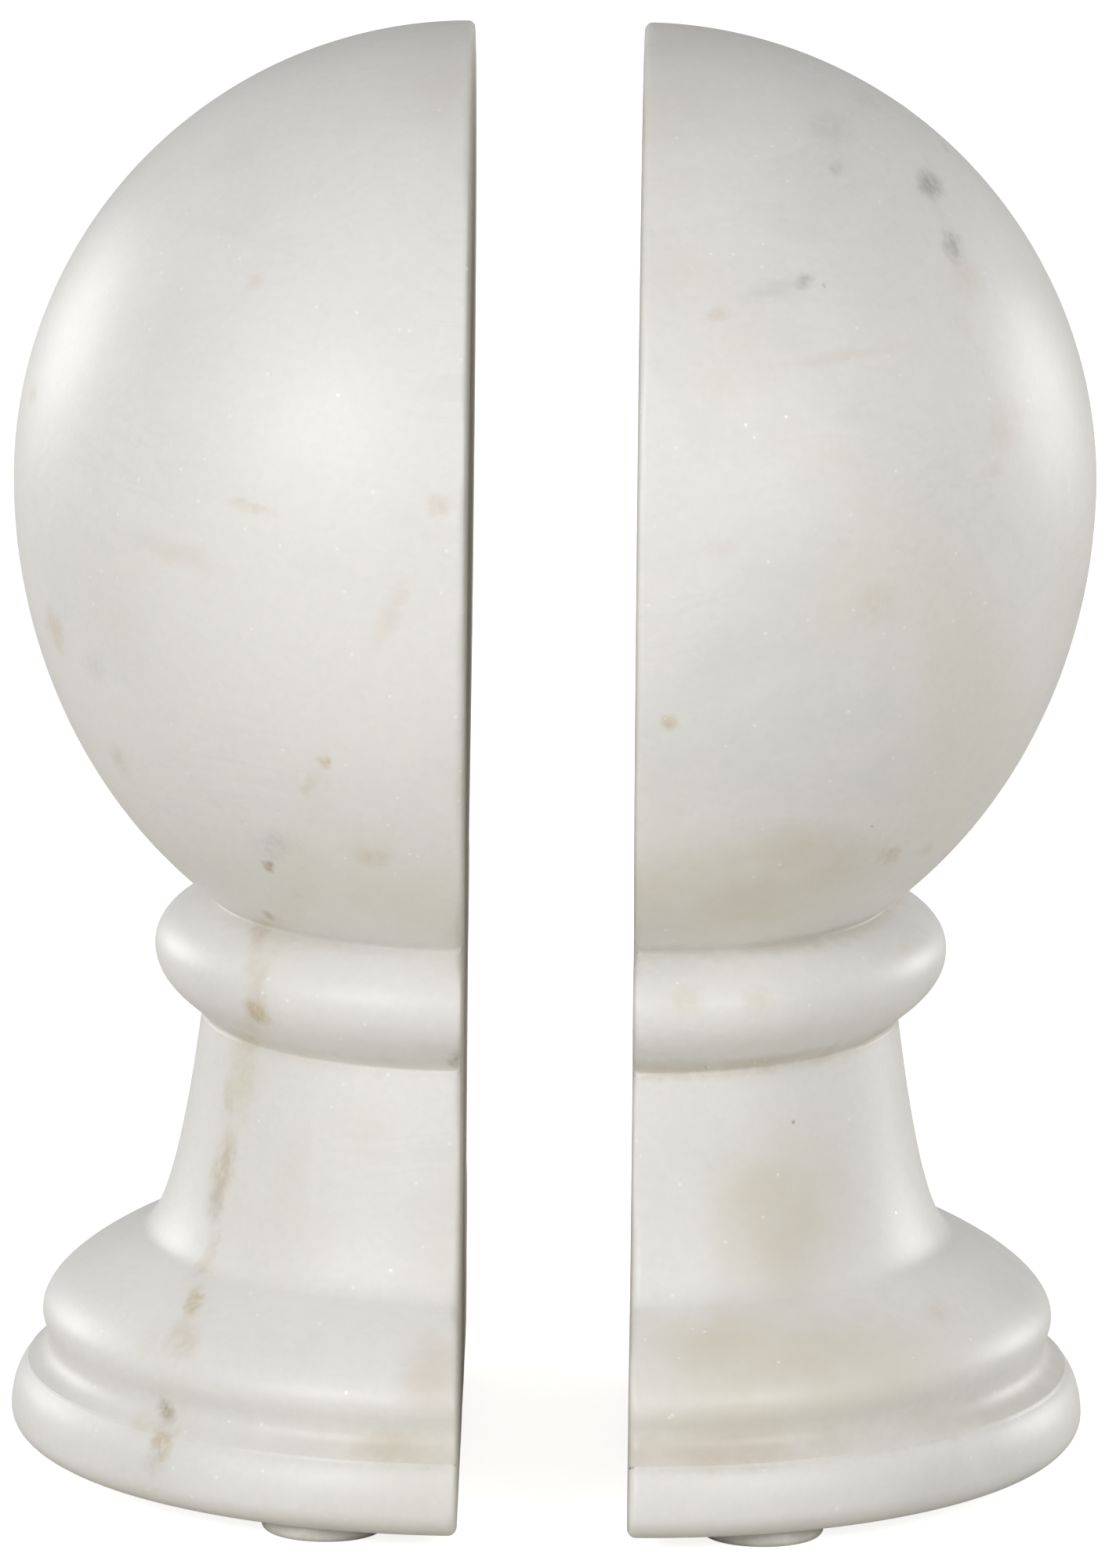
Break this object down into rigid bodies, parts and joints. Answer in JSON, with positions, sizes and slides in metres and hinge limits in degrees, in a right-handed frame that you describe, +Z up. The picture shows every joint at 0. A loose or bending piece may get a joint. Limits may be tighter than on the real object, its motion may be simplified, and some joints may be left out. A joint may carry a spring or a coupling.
{
  "type": "pair of turned stone bookends",
  "caption": "Turned white marble finial with a ball top, collar and moulded foot, sawn down its axis into a left and a right bookend that stand on round bumper pads.",
  "frame": {"origin": "on the surface that the pads stand on, midway between the two flat faces", "axes": "+Z up, +X from the left bookend to the right one, +Y away from the viewer, along the books' spines to their fore-edges"},
  "size_m": [0.166, 0.14, 0.2235],
  "materials": {
    "stone": "honed white marble with faint grey and tan veins",
    "pad": "cloudy clear soft bumper pad"
  },
  "bodies": {
    "left_bookend": {"left_stone_half": "stone", "left_pad_front": "pad", "left_pad_rear": "pad", "left_pad_outer": "pad"},
    "right_bookend": {"right_stone_half": "stone", "right_pad_front": "pad", "right_pad_rear": "pad", "right_pad_outer": "pad"}
  },
  "joints": [
    {"name": "book_gap", "type": "slide", "parent": "left_bookend", "child": "right_bookend", "axis": [1, 0, 0], "range_m": [-0.025, 0.3]}
  ]
}
